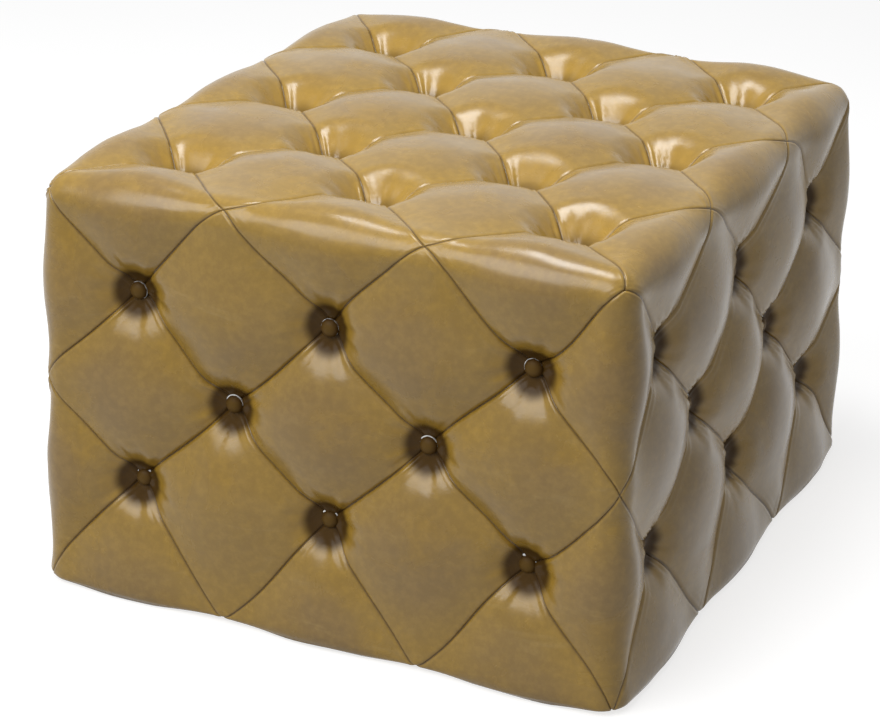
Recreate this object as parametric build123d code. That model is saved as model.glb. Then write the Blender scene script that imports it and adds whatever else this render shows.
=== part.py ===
from build123d import *
import os

# A deep-buttoned leather footstool: a box of diamonds that run unbroken from the top over
# the edges and down to the base. Sizes are millimetres, +Z is up, and the origin is on the
# floor under the middle of the stool. The front is the -Y side.

# Overall size, over the crowns of the diamonds
width = 580.0
depth = 630.0
height = 406.0

# Diamond grid: cells along each side. A grid point whose three counts from the top corner
# add up to an even number is where pleats cross, and an odd one is the crown of a diamond.
cells_x = 6
cells_y = 6
cells_z = 4

# Levels of the grid's rows down the sides, as shares of the cover's height: the last is longer
ROW_SHARES = (0, 0.254, 0.483, 0.715, 1)

# Form of the leather: how far each kind of grid point lies in from the flat faces
top_well_depth = 34.0
side_well_depth = 24.0
top_pleat_depth = 12.0
side_pleat_depth = 10.0
edge_pleat_depth = 6.0
edge_crossing_inset = 10.5
edge_crown_inset = 7.0
corner_inset = 14.0
base_crossing_inset = 4.0
base_crown_inset = 0.5
base_corner_inset = 9.0
shoulder_share = 0.25

# Leather cover and the layers under it
leather = 2.0
layer_gap = 0.3
wadding = 3.0
hem_reach = 80.0

# Covered buttons with their loops and ties
button_diameter = 20.0
button_edge_height = 2.5
button_crown_height = 5.5
button_wall = 1.4
button_back = 1.2
seat_clearance = 1.0
seat_floor_drop = 1.0
loop_diameter = 3.6
loop_length = 8.0
tie_hole = 4.4
twine = 2.2
knot_diameter = 8.0
knot_height = 3.0
tail_length = 15.0

# Wooden frame and boards
side_padding = 52.0
top_padding = 78.0
side_board = 6.0
deck = 12.0
post = 30.0
rail_height = 60.0
brace_thickness = 20.0
brace_height = 45.0
brace_spread = 96.0

# Wood screws
screw_diameter = 4.5
screw_head = 9.0
screw_head_height = 2.6
screw_tip = 5.0
rail_screw_length = 70.0
deck_screw_length = 38.0
brace_screw_length = 60.0

# Staples: length of the crown, wire, and how far the legs reach down from the crown
staple_crown = 10.0
staple_wire = 0.9
hem_staple_leg = 10.0
lining_staple_leg = 9.0
board_staple_leg = 14.0
tie_staple_leg = 5.0
staple_edge_margin = 6.0

# Dust cover and glides
lining = 0.8
lining_reach = 70.0
glide_height = 4.0
glide_diameter = 26.0
glide_edge_radius = 1.5
glide_nail = 3.0
glide_nail_length = 20.0
glide_nail_head = 8.0
glide_nail_head_height = 1.5
glide_sole = 2.0

# Places along an edge, as shares of its half length or of a rail's height from its middle
HEM_STAPLE_SHARES = (-0.8, -0.5, -0.17, 0.17, 0.5, 0.8)
LINING_STAPLE_SHARES = (-0.7, -0.35, 0, 0.35, 0.7)
POST_STAPLE_SHARES = (0.3, 0.5, 0.7)
LONG_RAIL_SCREW_SHARES = (-0.3, 0.05)
SHORT_RAIL_SCREW_SHARES = (-0.17, 0.18)

# Cutters run past the faces that they cut by this much
overrun = 5.0

# Levels and faces worked out from the sizes above
base_z = glide_height + lining
cell_x = width / cells_x
cell_y = depth / cells_y
cover_height = height - base_z
board_x = width / 2 - side_padding
board_y = depth / 2 - side_padding
frame_x = board_x - side_board
frame_y = board_y - side_board
inner_x = frame_x - post
inner_y = frame_y - post
post_x = frame_x - post / 2
post_y = frame_y - post / 2
frame_z = base_z + leather
deck_top = height - top_padding
deck_under = deck_top - deck
low_rail_top = frame_z + rail_height
high_rail_z = deck_under - rail_height
hem_x = width / 2 - hem_reach
hem_y = depth / 2 - hem_reach
lining_x = width / 2 - lining_reach
lining_y = depth / 2 - lining_reach
brace_x = brace_spread / 2
wadding_inset = leather + layer_gap
foam_inset = wadding_inset + wadding + layer_gap

X = Vector(1, 0, 0)
Y = Vector(0, 1, 0)
Z = Vector(0, 0, 1)

# The padded faces and their outward normals
FACES = {"top": Z, "front": -Y, "back": Y, "left": -X, "right": X}


# Small helpers

def write(name, shape):
    """Save one sub-part under its own name."""
    shape.label = name
    export_step(shape, f"parts/{name}.step")


def block(x0, x1, y0, y1, z0, z1):
    """A box between two opposite corners."""
    centre = Location(((x0 + x1) / 2, (y0 + y1) / 2, (z0 + z1) / 2))
    return (centre * Box(x1 - x0, y1 - y0, z1 - z0)).solid()


def rod(start, direction, length, diameter):
    """A round bar from a point along a direction."""
    return Solid.make_cylinder(diameter / 2, length, Plane(origin=start, z_dir=direction))


def square_bar(start, end, side, across):
    """A square bar between two points, with one side parallel to a direction."""
    run = end - start
    place = Plane(origin=start + run / 2, x_dir=across, z_dir=run).location
    return (place * Box(side, side, run.length)).solid()


def group(solids):
    """Separate solids that share one node."""
    return Compound(solids)


def with_boxes(tools):
    """Cutting tools, each with its box, so that far ones can be passed over quickly."""
    return [(tool, tool.bounding_box()) for tool in tools]


def boxes_meet(a, b):
    """Whether two boxes touch or overlap."""
    return (
        a.min.X <= b.max.X and b.min.X <= a.max.X
        and a.min.Y <= b.max.Y and b.min.Y <= a.max.Y
        and a.min.Z <= b.max.Z and b.min.Z <= a.max.Z
    )


def drilled(piece, tools):
    """A piece with the room cut out of it for what passes through or into it."""
    piece_box = piece.bounding_box()
    near = [tool for tool, box in tools if boxes_meet(piece_box, box)]
    return piece.cut(*near).solid() if near else piece


# Grid of the diamonds

def normals_at(i, j, k):
    """Outward normals of the padded faces that a grid point lies on."""
    found = []
    if i == 0:
        found.append(FACES["left"])
    if i == cells_x:
        found.append(FACES["right"])
    if j == 0:
        found.append(FACES["front"])
    if j == cells_y:
        found.append(FACES["back"])
    if k == 0:
        found.append(FACES["top"])
    return found


def grid_place(i, j, k):
    """A grid point on the flat faces of the box, with k counted down from the top."""
    drop = ROW_SHARES[k] * cover_height
    return Vector(i * cell_x - width / 2, j * cell_y - depth / 2, height - drop)


def grid_points():
    """Every grid point on the padded faces, once."""
    for i in range(cells_x + 1):
        for j in range(cells_y + 1):
            for k in range(cells_z + 1):
                if normals_at(i, j, k):
                    yield i, j, k


def is_crossing(i, j, k):
    """Pleats cross at every second grid point."""
    return (i + j + k) % 2 == 0


def is_button(i, j, k):
    """A button sits wherever pleats cross inside one face, above the base."""
    return is_crossing(i, j, k) and len(normals_at(i, j, k)) == 1 and k < cells_z


def along(grid, direction, steps):
    """The grid point some steps away along an axis, with k counted downwards."""
    return (
        grid[0] + round(direction.X) * steps,
        grid[1] + round(direction.Y) * steps,
        grid[2] - round(direction.Z) * steps,
    )


def recess(i, j, k):
    """How far a grid point lies in from each face that it is on."""
    faces = len(normals_at(i, j, k))
    if k == cells_z:
        if not is_crossing(i, j, k):
            return base_crown_inset
        return base_corner_inset if faces == 2 else base_crossing_inset
    if not is_crossing(i, j, k):
        return 0 if faces == 1 else edge_crown_inset
    if faces == 3:
        return corner_inset
    if faces == 2:
        return edge_crossing_inset
    return top_well_depth if k == 0 else side_well_depth


# The tufted form, drawn at any inset below the face of the leather

def form_point(grid, inset):
    """A grid point on the form."""
    point = grid_place(*grid)
    for normal in normals_at(*grid):
        point = point - normal * (recess(*grid) + inset)
    if grid[2] == cells_z:
        point = point + Z * inset
    return point


def pleat_point(a, b, inset):
    """The middle of the pleat between two crossings, on the one face that both lie on."""
    normal = [face for face in normals_at(*a) if face in normals_at(*b)][0]
    if is_button(*a) and is_button(*b):
        sunk = top_pleat_depth if normal == FACES["top"] else side_pleat_depth
    else:
        sunk = edge_pleat_depth
    return (grid_place(*a) + grid_place(*b)) / 2 - normal * (sunk + inset)


def shallow_arc(first, middle, last):
    """Control points of the shallow arc through three points."""
    return [first, middle * 2 - (first + last) / 2, last]


def patch(rows):
    """One face lofted over a net of shallow arcs, three each way."""
    lengthways = [shallow_arc(*row) for row in rows]
    crossways = [shallow_arc(*column) for column in zip(*lengthways)]
    return Face.make_bezier_surface(crossways)


def diamond_corners(grid):
    """The four crossings round a crown, in order, over the edge if the crown lies on one."""
    faces = normals_at(*grid)
    if len(faces) == 1:
        first, second = [axis for axis in (X, Y, Z) if axis.dot(faces[0]) == 0]
        return [along(grid, side, 1) for side in (first, second, -first, -second)]
    edge = [axis for axis in (X, Y, Z) if axis.dot(faces[0] + faces[1]) == 0][0]
    return [along(grid, side, 1) for side in (edge, -faces[0], -edge, -faces[1])]


def diamond(grid, inset):
    """The face of one whole diamond."""
    a, b, c, d = diamond_corners(grid)
    return patch([
        [form_point(a, inset), pleat_point(a, b, inset), form_point(b, inset)],
        [pleat_point(a, d, inset), form_point(grid, inset), pleat_point(b, c, inset)],
        [form_point(d, inset), pleat_point(d, c, inset), form_point(c, inset)],
    ])


def half_diamond(grid, inset):
    """The face of a diamond that the base cuts through, drawn up to its button."""
    normal = normals_at(*grid)[0]
    side = Z.cross(normal)
    button = along(grid, Z, 1)
    left = along(grid, side, -1)
    right = along(grid, side, 1)
    tip = form_point(button, inset)
    shoulder = (grid_place(*button) + grid_place(*grid)) / 2
    shoulder = shoulder - normal * (side_well_depth * shoulder_share + inset)
    return patch([
        [tip, tip, tip],
        [pleat_point(button, left, inset), shoulder, pleat_point(button, right, inset)],
        [form_point(left, inset), form_point(grid, inset), form_point(right, inset)],
    ])


def base_face(inset):
    """The flat underside, whose outline has one shallow arc to each half diamond."""
    arcs = []
    for grid in grid_points():
        if grid[2] == cells_z and not is_crossing(*grid):
            side = Z.cross(normals_at(*grid)[0])
            left, right = [form_point(along(grid, side, step), inset) for step in (-1, 1)]
            arcs.append(Edge.make_bezier(*shallow_arc(left, form_point(grid, inset), right)))
    return Face(Wire(arcs))


def button_seat(grid):
    """The middle of the floor that a button sits on, and the direction out of its well."""
    normal = normals_at(*grid)[0]
    return grid_place(*grid) - normal * (recess(*grid) + seat_floor_drop), normal


def tufted_form(inset):
    """The closed form, with a flat floor in each well for its button."""
    faces = [base_face(inset)]
    for grid in grid_points():
        if not is_crossing(*grid):
            faces.append(half_diamond(grid, inset) if grid[2] == cells_z else diamond(grid, inset))
    seats = []
    for grid in BUTTONS:
        floor, normal = button_seat(grid)
        seat_diameter = button_diameter + 2 * (seat_clearance + inset)
        seats.append(rod(floor - normal * inset, normal, recess(*grid) + inset, seat_diameter))
    return Solid(Shell(faces)).cut(*seats).solid()


BUTTONS = [grid for grid in grid_points() if is_button(*grid)]


def buttons_on(face):
    """The buttons of one face."""
    return [grid for grid in BUTTONS if normals_at(*grid)[0] == FACES[face]]


# Buttons and ties

def button_cap(grid):
    """The leather-covered shell of a button, hollowed underneath for its back."""
    floor, normal = button_seat(grid)
    radius = button_diameter / 2
    dome_radius = (radius**2 + button_crown_height**2) / (2 * button_crown_height)
    rise = button_edge_height + button_crown_height
    dome_place = Plane(origin=floor + normal * (rise - dome_radius), z_dir=normal)
    dome = Solid.make_sphere(dome_radius, dome_place)
    pocket = rod(floor, normal, button_back, button_diameter - 2 * button_wall)
    cap = rod(floor, normal, rise, button_diameter).intersect(dome).solid()
    return cap.cut(pocket).solid()


def button_loop(grid):
    """The metal back of a button with its loop, which reaches down through the leather."""
    floor, normal = button_seat(grid)
    plate = rod(floor, normal, button_back, button_diameter - 2 * button_wall)
    return plate.fuse(rod(floor, -normal, loop_length, loop_diameter)).solid()


def backing(grid):
    """The middle of a tie's hole on the inner side of the boards, or of a rail behind them."""
    normal = normals_at(*grid)[0]
    place = grid_place(*grid)
    if normal == FACES["top"]:
        return place - normal * (top_padding + deck)
    behind_rail = place.Z > high_rail_z or place.Z < low_rail_top
    return place - normal * (side_padding + side_board + (post if behind_rail else 0))


def tail_direction(grid):
    """Which way the loose end of a tie lies along the board."""
    if normals_at(*grid)[0] == FACES["top"]:
        return -X if grid_place(*grid).X > 0 else X
    return -Z


def twine_tie(grid):
    """A twine tie: from the button's loop to a knot behind the board, and its loose end."""
    floor, normal = button_seat(grid)
    inside = backing(grid)
    start = floor - normal * loop_length
    straight = rod(start, -normal, (start - inside).length, twine)
    knot = rod(inside, -normal, knot_height, knot_diameter)
    tail = rod(inside - normal * (knot_height / 2), tail_direction(grid), tail_length, twine)
    return straight.fuse(knot, tail).solid()


def staple(place, outward, across, stand, leg):
    """A staple whose crown stands some way off a surface, with two legs driven into it."""
    middle = place + outward * (stand + staple_wire / 2)
    half = across * (staple_crown / 2)
    reach = outward * leg
    setback = across * (staple_wire / 2)
    crown = square_bar(middle - half, middle + half, staple_wire, outward)
    legs = [
        square_bar(end, end - reach, staple_wire, across)
        for end in (middle - half + setback, middle + half - setback)
    ]
    return crown.fuse(*legs).solid()


def tie_staple(grid):
    """The staple that holds the loose end of a tie."""
    normal = normals_at(*grid)[0]
    direction = tail_direction(grid)
    place = backing(grid) + direction * (knot_diameter / 2 + tail_length) / 2
    stand = (knot_height + twine) / 2
    return staple(place, -normal, direction.cross(normal), stand, tie_staple_leg + stand)


def tie_hole_at(grid):
    """The hole for a tie, from the floor of the well to the inside of the boards."""
    floor, normal = button_seat(grid)
    start = floor + normal * overrun
    return rod(start, -normal, (start - backing(grid)).length + overrun, tie_hole)


# Screws and the places of the fasteners

def wood_screw(place, direction, length):
    """A countersunk screw, flush with the surface that it is driven into."""
    shank_end = place + direction * (length - screw_tip)
    shank = rod(place, direction, length - screw_tip, screw_diameter)
    head_place = Plane(origin=place, z_dir=direction)
    head = Solid.make_cone(screw_head / 2, screw_diameter / 2, screw_head_height, head_place)
    tip_place = Plane(origin=shank_end, z_dir=direction)
    tip = Solid.make_cone(screw_diameter / 2, 0, screw_tip, tip_place)
    return shank.fuse(head, tip).solid()


def rail_screws():
    """Screws through the posts into the ends of the rails."""
    screws = []
    high_middle = high_rail_z + rail_height / 2
    low_middle = frame_z + rail_height / 2
    for sx in (-1, 1):
        for sy in (-1, 1):
            for middle, up in ((high_middle, 1), (low_middle, -1)):
                for share in LONG_RAIL_SCREW_SHARES:
                    place = Vector(sx * frame_x, sy * post_y, middle + up * share * rail_height)
                    screws.append(wood_screw(place, X * -sx, rail_screw_length))
                for share in SHORT_RAIL_SCREW_SHARES:
                    place = Vector(sx * post_x, sy * frame_y, middle + up * share * rail_height)
                    screws.append(wood_screw(place, Y * -sy, rail_screw_length))
    return screws


def deck_screws():
    """Screws down through the deck into the rails and the braces."""
    places = [(sx * cell_x, sy * post_y) for sx in (-1, 1) for sy in (-1, 1)]
    places += [(sx * post_x, sy * cell_y) for sx in (-1, 1) for sy in (-1, 1)]
    places += [(sx * brace_x, sy * cell_y) for sx in (-1, 1) for sy in (-1, 1)]
    return [wood_screw(Vector(x, y, deck_top), -Z, deck_screw_length) for x, y in places]


def brace_screws():
    """Screws through the front and back rails into the ends of the braces."""
    level = deck_under - brace_height / 2
    return [
        wood_screw(Vector(sx * brace_x, sy * frame_y, level), Y * -sy, brace_screw_length)
        for sx in (-1, 1)
        for sy in (-1, 1)
    ]


def board_staples():
    """Staples driven flush through the side boards into the posts and rails."""
    staples = []
    board_height = deck_under - frame_z
    rail_levels = (frame_z + rail_height / 2, deck_under - rail_height / 2)
    for s in (-1, 1):
        for t in (-1, 1):
            for share in POST_STAPLE_SHARES:
                level = frame_z + share * board_height
                place = Vector(t * post_x, s * board_y, level)
                staples.append(staple(place, Y * s, Z, -staple_wire, board_staple_leg))
                place = Vector(s * board_x, t * post_y, level)
                staples.append(staple(place, X * s, Z, -staple_wire, board_staple_leg))
            for level in rail_levels:
                place = Vector(t * cell_x, s * board_y, level)
                staples.append(staple(place, Y * s, X, -staple_wire, board_staple_leg))
                place = Vector(s * board_x, t * cell_y, level)
                staples.append(staple(place, X * s, Y, -staple_wire, board_staple_leg))
    return staples


def ring_staples(half_x, half_y, shares, level, leg):
    """Staples under the base, in rows along the four sides of a rectangle."""
    staples = []
    for s in (-1, 1):
        for share in shares:
            place = Vector(share * half_x, s * half_y, level)
            staples.append(staple(place, -Z, X, 0, leg))
            place = Vector(s * half_x, share * half_y, level)
            staples.append(staple(place, -Z, Y, 0, leg))
    return staples


def hem_staples():
    """Staples through the turned-under leather into the bottom rails."""
    half_x = frame_x - staple_edge_margin
    half_y = frame_y - staple_edge_margin
    return ring_staples(half_x, half_y, HEM_STAPLE_SHARES, base_z, hem_staple_leg)


def lining_staples():
    """Staples through the dust cover and the leather into the bottom rails."""
    half_x = lining_x - staple_edge_margin
    half_y = lining_y - staple_edge_margin
    return ring_staples(half_x, half_y, LINING_STAPLE_SHARES, glide_height, lining_staple_leg)


# Base

def glide_nail_at(x, y):
    """The nail moulded into a glide and driven up into a post."""
    head = rod(Vector(x, y, glide_sole), Z, glide_nail_head_height, glide_nail_head)
    return head.fuse(rod(Vector(x, y, glide_sole), Z, glide_nail_length, glide_nail)).solid()


def glide_at(x, y, nail):
    """A plain round glide with a softened lower edge, moulded over the head of its nail."""
    glide = rod(Vector(x, y, 0), Z, glide_height, glide_diameter)
    rim = glide.edges().sort_by(Axis.Z)[0]
    return glide.fillet(glide_edge_radius, [rim]).cut(nail).solid()


# Frame

def rails():
    """Bottom and top rails between the posts."""
    made = {}
    for level, z0 in (("bottom", frame_z), ("top", high_rail_z)):
        z1 = z0 + rail_height
        made[f"{level}_rail_front"] = block(-inner_x, inner_x, -frame_y, -inner_y, z0, z1)
        made[f"{level}_rail_back"] = block(-inner_x, inner_x, inner_y, frame_y, z0, z1)
        made[f"{level}_rail_left"] = block(-frame_x, -inner_x, -inner_y, inner_y, z0, z1)
        made[f"{level}_rail_right"] = block(inner_x, frame_x, -inner_y, inner_y, z0, z1)
    return made


def corners():
    """The four corners by name, with the sign of x and y at each."""
    for x_name, sx in (("left", -1), ("right", 1)):
        for y_name, sy in (("front", -1), ("back", 1)):
            yield f"{y_name}_{x_name}", sx, sy


def posts():
    """Corner posts from the base to the deck."""
    made = {}
    for name, sx, sy in corners():
        xs = sorted((sx * inner_x, sx * frame_x))
        ys = sorted((sy * inner_y, sy * frame_y))
        made[f"corner_post_{name}"] = block(*xs, *ys, frame_z, deck_under)
    return made


def braces():
    """Two braces that carry the middle of the deck."""
    made = {}
    for name, sx in (("left", -1), ("right", 1)):
        x0 = sx * brace_x - brace_thickness / 2
        z0 = deck_under - brace_height
        made[f"deck_brace_{name}"] = block(
            x0, x0 + brace_thickness, -inner_y, inner_y, z0, deck_under
        )
    return made


def boards():
    """The deck and the four side boards."""
    return {
        "top_deck": block(-board_x, board_x, -board_y, board_y, deck_under, deck_top),
        "side_board_front": block(-board_x, board_x, -board_y, -frame_y, frame_z, deck_under),
        "side_board_back": block(-board_x, board_x, frame_y, board_y, frame_z, deck_under),
        "side_board_left": block(-board_x, -frame_x, -frame_y, frame_y, frame_z, deck_under),
        "side_board_right": block(frame_x, board_x, -frame_y, frame_y, frame_z, deck_under),
    }


# Soft layers

def foam_pads():
    """The padding in five pads: one over the deck and one against each side board."""
    form = tufted_form(foam_inset)
    spaces = {
        "foam_top": block(-width, width, -depth, depth, deck_top, height),
        "foam_front": block(-width, width, -depth, -board_y, 0, deck_top),
        "foam_back": block(-width, width, board_y, depth, 0, deck_top),
        "foam_left": block(-width, -board_x, -board_y, board_y, 0, deck_top),
        "foam_right": block(board_x, width, -board_y, board_y, 0, deck_top),
    }
    return {name: form.intersect(space).solid() for name, space in spaces.items()}


def wadding_wrap():
    """The thin fibre layer over the foam, open at the base."""
    outer = tufted_form(wadding_inset)
    inner = tufted_form(wadding_inset + wadding)
    underside = block(-width, width, -depth, depth, 0, base_z + wadding_inset + wadding)
    return outer.cut(inner, underside).solid()


def leather_cover():
    """The leather, turned under the base with its hem's raw edge on the bottom rails."""
    opening = block(-hem_x, hem_x, -hem_y, hem_y, 0, base_z + leather + overrun)
    return tufted_form(0).cut(tufted_form(leather), opening).solid()


def main():
    os.makedirs("parts", exist_ok=True)

    tie_holes = with_boxes([tie_hole_at(grid) for grid in BUTTONS])
    tie_staples = {face: [tie_staple(grid) for grid in buttons_on(face)] for face in FACES}
    rail_screw_set = rail_screws()
    deck_screw_set = deck_screws()
    brace_screw_set = brace_screws()
    board_staple_set = board_staples()
    hem_staple_set = hem_staples()
    lining_staple_set = lining_staples()
    glide_nails = {name: glide_nail_at(sx * post_x, sy * post_y) for name, sx, sy in corners()}

    fasteners = rail_screw_set + deck_screw_set + brace_screw_set + board_staple_set
    fasteners += hem_staple_set + lining_staple_set + list(glide_nails.values())
    fasteners += [each for face in FACES for each in tie_staples[face]]
    fasteners = with_boxes(fasteners)

    for pieces in (rails(), posts(), braces(), boards()):
        for name, piece in pieces.items():
            write(name, drilled(piece, tie_holes + fasteners))

    for name, piece in foam_pads().items():
        write(name, drilled(piece, tie_holes))
    write("wadding_wrap", drilled(wadding_wrap(), tie_holes))
    write("leather_cover", drilled(leather_cover(), tie_holes + fasteners))

    for face in FACES:
        write(f"buttons_{face}", group([button_cap(grid) for grid in buttons_on(face)]))
        write(f"button_loops_{face}", group([button_loop(grid) for grid in buttons_on(face)]))
        write(f"twine_ties_{face}", group([twine_tie(grid) for grid in buttons_on(face)]))
        write(f"tie_staples_{face}", group(tie_staples[face]))

    write("rail_screws", group(rail_screw_set))
    write("deck_screws", group(deck_screw_set))
    write("brace_screws", group(brace_screw_set))
    write("board_staples", group(board_staple_set))
    write("hem_staples", group(hem_staple_set))
    write("dust_cover_staples", group(lining_staple_set))

    dust_cover = block(-lining_x, lining_x, -lining_y, lining_y, glide_height, base_z)
    write("dust_cover", drilled(dust_cover, fasteners))
    for name, sx, sy in corners():
        write(f"glide_{name}", glide_at(sx * post_x, sy * post_y, glide_nails[name]))
    write("glide_nails", group(list(glide_nails.values())))


main()
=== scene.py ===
import math

import bmesh
import bpy
from mathutils import Matrix, Vector, noise


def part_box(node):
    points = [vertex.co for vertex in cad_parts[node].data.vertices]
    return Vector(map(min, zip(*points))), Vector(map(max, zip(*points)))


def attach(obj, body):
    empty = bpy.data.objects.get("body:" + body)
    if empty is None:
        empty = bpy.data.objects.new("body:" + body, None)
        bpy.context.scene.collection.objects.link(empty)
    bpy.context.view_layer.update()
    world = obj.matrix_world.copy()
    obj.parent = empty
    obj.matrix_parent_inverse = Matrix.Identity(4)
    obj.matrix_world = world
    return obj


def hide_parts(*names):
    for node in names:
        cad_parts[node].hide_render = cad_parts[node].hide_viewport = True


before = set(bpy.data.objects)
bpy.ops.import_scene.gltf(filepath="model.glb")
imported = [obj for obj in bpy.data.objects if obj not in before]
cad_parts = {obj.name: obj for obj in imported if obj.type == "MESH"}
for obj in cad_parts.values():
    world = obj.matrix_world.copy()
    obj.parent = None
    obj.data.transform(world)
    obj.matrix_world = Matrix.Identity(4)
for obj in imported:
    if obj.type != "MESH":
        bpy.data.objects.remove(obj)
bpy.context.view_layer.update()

# Overall size of the leather cover, read from the frame; every size and place is in metres
cover_low, cover_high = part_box("leather_cover")
half_width = (cover_high.x - cover_low.x) / 2
half_depth = (cover_high.y - cover_low.y) / 2
top_z = cover_high.z
base_z = cover_low.z

# The padding hangs a little below the hem all round
base_drop = 0.0030
skin_foot = base_z - base_drop
skin_height = top_z - skin_foot

# Buttoning pattern: cells across, front to back, and down each side
cells_x = 6
cells_y = 6
cells_z = 4
row_shares = (0, 0.254, 0.483, 0.715, 1)
cell_x = 2 * half_width / cells_x
cell_y = 2 * half_depth / cells_y

# Leather skin
leather = 0.002
edge_radius = 0.027
crown_radius = 0.036
base_flare = 0.0060
flare_power = 1.8
top_draw = 0.0010
top_dome = 0.0050
roll_radius = 0.007
hem_reach = 0.080
hem_row_shares = (0.125, 0.2, 0.325, 0.5, 0.75, 1)
hem_flat_from = 0.026
hem_lift = 0.0004
hem_gather = 0.0012
hem_tuck = 0.002
hem_tone = 0.3
gather_grain = 60
gather_seed = (0, 0, 3)

# Points nearer than this are one point, or lie on one plane
merge_distance = 0.0002
cut_distance = 0.00001
plane_distance = 0.002

# Depths below the plain rounded box, and heights above it
top_well = 0.034
side_well = 0.027
top_pleat = 0.0085
side_pleat = 0.0155
edge_pleat = 0.0006
edge_knot = 0.0018
corner_knot = 0.0040
base_knot = 0.0022
groove_depth = 0.0018
groove_width = 0.0007
# Reach of the painted shade along the pleats; the hem's tuck follows it too
crease_reach = 0.0010
crown_rise = 0.0036
top_edge_rise = 0.0060
upright_edge_rise = 0.0045
pillow_power = 2.05

# Wells round the buttons: they lean, so they are wider toward the back, and downward on the sides
seat_radius = 0.0080
top_reach = 0.042
side_reach = 0.033
well_power = 1.3
well_lean = 0.12
# The top's wells get less painted shade than the sides' wells, as the top faces the light
top_well_shade = 0.75

# Small dimples at the crossings that have no button
knot_reach = 0.011
knot_power = 1.15

# Pleats: usual length, and how far and how fast they wander
pleat_length = 0.142
pleat_wander = 0.0070
bow_grain = 31
bow_seed = (2.7, 0.4, 8.1)
swing_grain = 23
swing_seed = (9.2, 5.5, 1.3)

# The pillow further up, back or right overlaps its neighbour at their pleat
overlap_back_share = 0.6
overlap_right_share = 0.2

# Raised lips beside the pleats, stronger near a button, where a second one follows
lip_height = 0.0012
lip_offset = 0.0036
lip_width = 0.0014
lip_limit = 4 * lip_offset
lip_share = 0.7
lip_patch_share = 0.9
lip_grain = 26
lip_seed = (1.7, 6.1, 2.9)
upper_lip_share = 0.35
plain_lip_share = 0.35
second_lip_offset = 2.3 * lip_offset
second_lip_share = 1.4

# Fine wrinkles round each button, like rays
wrinkle_height = 0.0008
wrinkle_ring = 0.030
wrinkle_spread = 0.012
wrinkle_limit = wrinkle_ring + 3 * wrinkle_spread
wrinkle_slant = 0.5
coarse_wrinkles = 11
coarse_wrinkle_turn = 40
fine_wrinkles = 17
fine_wrinkle_turn = 60
fine_wrinkle_share = 0.6

# Creases down the tongues of leather that run into the buttons
tongue_fold = 0.0012
tongue_reach = 0.040
tongue_limit = 2 * tongue_reach
tongue_middle = tongue_reach / 2
tongue_spread = tongue_reach / 3
tongue_growth = 1.6
tongue_luck = 0.15
tongue_grain = 19
tongue_seed = (4.4, 7.9, 3.3)

# Uneven filling
unevenness = 0.0012
unevenness_size = 0.085
small_unevenness_share = 0.4
small_unevenness_grain = 3.1

# Covered buttons
button_radius = 0.0086
button_crown = 0.0060
button_edge = 0.0020
button_steps = (28, 16)
button_gathers = 9
button_gather_share = 0.02
button_gather_power = 4
# Painted shade on the buttons: dark all over, darker toward the rim, with a dark band round the lower rim
button_shade = 0.52
button_rim_shade = 0.35
button_rim_power = 3
button_rim_share = 0.75
button_rim_top = 0.6
button_lower_rim_shade = 0.8
button_tilt = 0.12
button_tilt_grain = 40

# Layers under the leather
wadding_inset = 0.0023
wadding_thickness = 0.0030
foam_inset = 0.0056
layer_widening = 1.3
pad_cut_margin = 4 * foam_inset
pad_edge_angle = 50

# Lining under the base
lining_steps = (36, 40)
lining_sag = 0.0018
lining_ripple = 0.0004
lining_ripple_grain = 9

# Grid steps across a diamond, and how closely they crowd toward its pleats
skin_steps = 40
layer_steps = 16
crowding_share = 0.82

# The photograph's view: angles in degrees, lens and sensor in millimetres
camera_azimuth = 24.77
camera_elevation = 23.20
camera_roll = 0.92
camera_lens = 107.7
camera_sensor = 36
camera_place = (0.9766, -2.1773, 1.1860)

# Floor, surroundings and the two softboxes, with power in watts
surroundings_level = 0.22
floor_size = 12
floor_tones = (0.42, 0.44)
floor_glow = 0.74
overhead_place = (-0.17, -0.13, 2.10)
overhead_target = (-0.10, -0.05, 0.30)
overhead_size = (1.05, 0.44)
overhead_power = 22
front_place = (-0.75, -2.10, 2.35)
front_target = (0, 0, 0.25)
front_size = (2.5, 1.7)
front_power = 60


def clamp(value, limit):
    return max(-limit, min(limit, value))


def chance(place, grain, seed=(0, 0, 0)):
    """A smooth random value from -1 to 1 that belongs to a place, and changes faster with more grain."""
    return noise.noise(place * grain + Vector(seed))


def lattice(i, j, k):
    """A point of the buttoning grid on the sharp box; the row below the base mirrors the last one."""
    share = row_shares[k] if k <= cells_z else 2 - row_shares[-2]
    drop = share * skin_height
    return Vector((-half_width + i * cell_x, -half_depth + j * cell_y, top_z - drop))


def faces_of(i, j, k):
    """Outward directions of the covered faces that a grid point lies on."""
    found = []
    if k == 0:
        found.append(Vector((0, 0, 1)))
    if i in (0, cells_x):
        found.append(Vector((-1 if i == 0 else 1, 0, 0)))
    if j in (0, cells_y):
        found.append(Vector((0, -1 if j == 0 else 1, 0)))
    return found


def surface_points(odd):
    """Every crown (odd) or crossing (even) of the grid on the top and the sides."""
    for i in range(cells_x + 1):
        for j in range(cells_y + 1):
            for k in range(cells_z + 1):
                if (i + j + k) % 2 == odd and faces_of(i, j, k):
                    yield i, j, k


def is_button(i, j, k):
    return (i + j + k) % 2 == 0 and len(faces_of(i, j, k)) == 1 and k < cells_z


def button_places(face):
    """Grid points of the buttons on one face, named by its outward direction."""
    return [p for p in surface_points(0) if is_button(*p) and faces_of(*p)[0] == face]


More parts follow.
